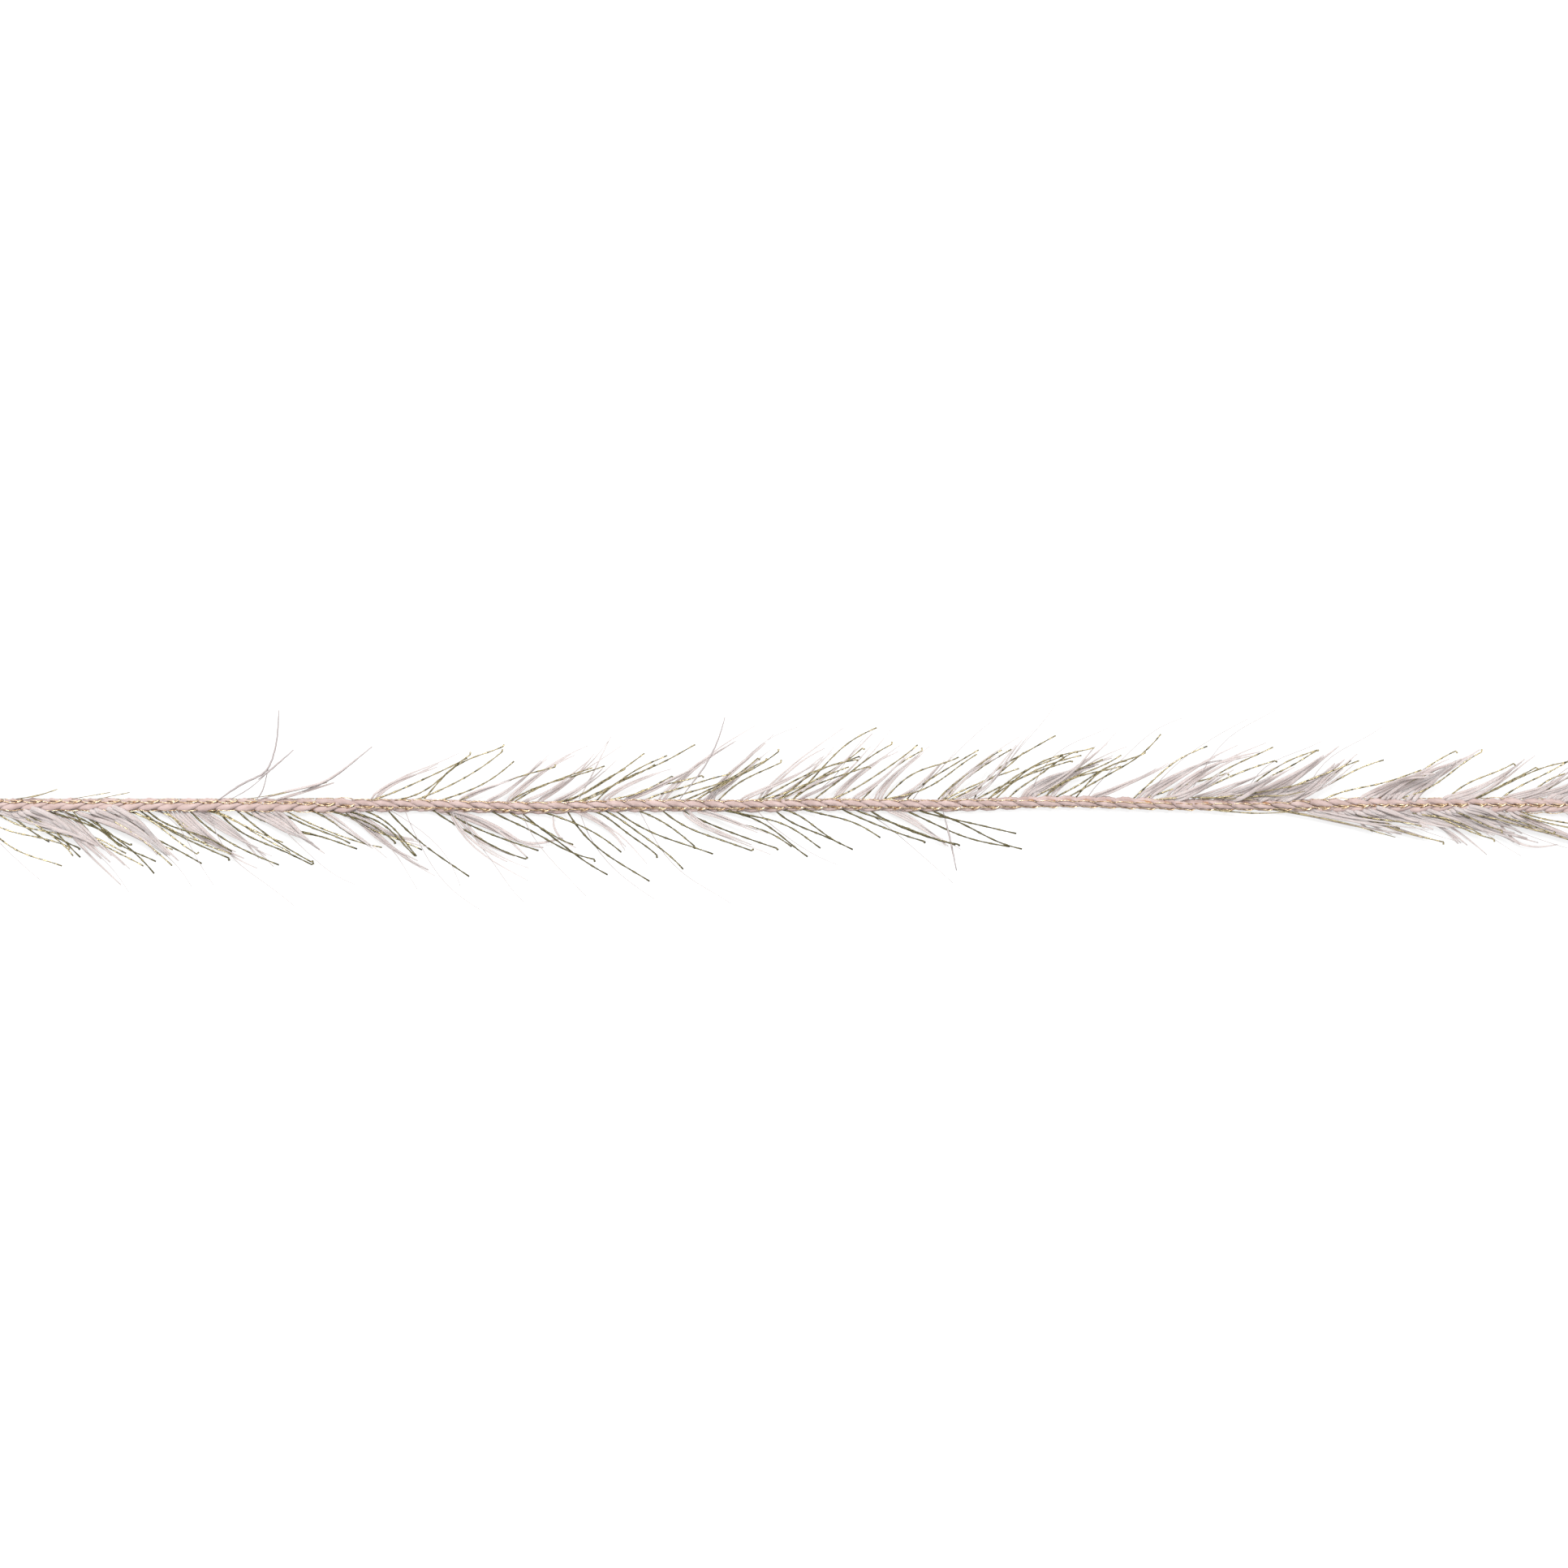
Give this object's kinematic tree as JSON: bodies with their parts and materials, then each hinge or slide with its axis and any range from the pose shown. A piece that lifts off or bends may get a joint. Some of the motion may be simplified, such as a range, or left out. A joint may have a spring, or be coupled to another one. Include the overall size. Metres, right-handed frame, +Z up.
{
  "type": "lash-fringed boa trim",
  "caption": "Slim boa-style trim: a chain-stitched rose yarn core with soft rose and gold metallic lashes on two sides, laid out from a knotted end, the rest tied in a hank.",
  "frame": {"origin": "middle of the object's length and width, on the surface that it lies on", "axes": "+X along the strand from the knotted free end to the hank, +Y across it towards lash row a's far side, +Z up from the surface"},
  "size_m": [0.352, 0.03, 0.0138],
  "materials": {
    "rose_yarn": "soft matte chain-stitched yarn",
    "rose_lash": "soft matte loose filaments",
    "gold_thread": "bright twisted metallic thread",
    "gold_lash": "bright twisted metallic thread, cut",
    "fine_fibre": "fine silvery fibres",
    "hank_bundle": "folded lash trim",
    "tie_yarn": "plain rose yarn"
  },
  "bodies": {
    "root": {"core_1": "rose_yarn", "gold_thread_1": "gold_thread", "rose_row_a_1": "rose_lash", "rose_row_b_1": "rose_lash", "gold_row_a_1": "gold_lash", "gold_row_b_1": "gold_lash", "fine_fibres_1": "fine_fibre", "hank": "hank_bundle", "hank_knot": "rose_yarn", "hank_tie": "tie_yarn"},
    "length_2": {"core_2": "rose_yarn", "gold_thread_2": "gold_thread", "rose_row_a_2": "rose_lash", "rose_row_b_2": "rose_lash", "gold_row_a_2": "gold_lash", "gold_row_b_2": "gold_lash", "fine_fibres_2": "fine_fibre"},
    "length_3": {"core_3": "rose_yarn", "gold_thread_3": "gold_thread", "rose_row_a_3": "rose_lash", "rose_row_b_3": "rose_lash", "gold_row_a_3": "gold_lash", "gold_row_b_3": "gold_lash", "fine_fibres_3": "fine_fibre"},
    "length_4": {"core_4": "rose_yarn", "gold_thread_4": "gold_thread", "rose_row_a_4": "rose_lash", "rose_row_b_4": "rose_lash", "gold_row_a_4": "gold_lash", "gold_row_b_4": "gold_lash", "fine_fibres_4": "fine_fibre"},
    "free_end": {"core_5": "rose_yarn", "gold_thread_5": "gold_thread", "rose_row_a_5": "rose_lash", "rose_row_b_5": "rose_lash", "gold_row_a_5": "gold_lash", "gold_row_b_5": "gold_lash", "fine_fibres_5": "fine_fibre", "end_knot": "rose_yarn", "end_tail": "rose_yarn"}
  },
  "joints": [
    {"name": "bend_1", "type": "hinge", "parent": "root", "child": "length_2", "pos_m": [0.056, 0, 0.001], "axis": [0, 0, 1], "range_deg": [-45, 45], "deforming": ["rose_row_a_1", "rose_row_b_1", "gold_row_a_1", "gold_row_b_1", "fine_fibres_1", "gold_thread_1", "rose_row_a_2", "rose_row_b_2", "gold_row_a_2", "gold_row_b_2", "fine_fibres_2", "gold_thread_2"]},
    {"name": "bend_2", "type": "hinge", "parent": "length_2", "child": "length_3", "pos_m": [-0.004, 0, 0.001], "axis": [0, 0, 1], "range_deg": [-45, 45], "deforming": ["rose_row_a_3", "rose_row_b_3", "gold_row_a_3", "gold_row_b_3", "fine_fibres_3", "gold_thread_3"]},
    {"name": "bend_3", "type": "hinge", "parent": "length_3", "child": "length_4", "pos_m": [-0.064, 0, 0.001], "axis": [0, 0, 1], "range_deg": [-45, 45], "deforming": ["rose_row_a_4", "rose_row_b_4", "gold_row_a_4", "gold_row_b_4", "fine_fibres_4", "gold_thread_4"]},
    {"name": "bend_4", "type": "hinge", "parent": "length_4", "child": "free_end", "pos_m": [-0.124, 0, 0.001], "axis": [0, 0, 1], "range_deg": [-45, 45], "deforming": ["rose_row_a_5", "rose_row_b_5", "gold_row_a_5", "gold_row_b_5", "fine_fibres_5", "gold_thread_5"]}
  ]
}
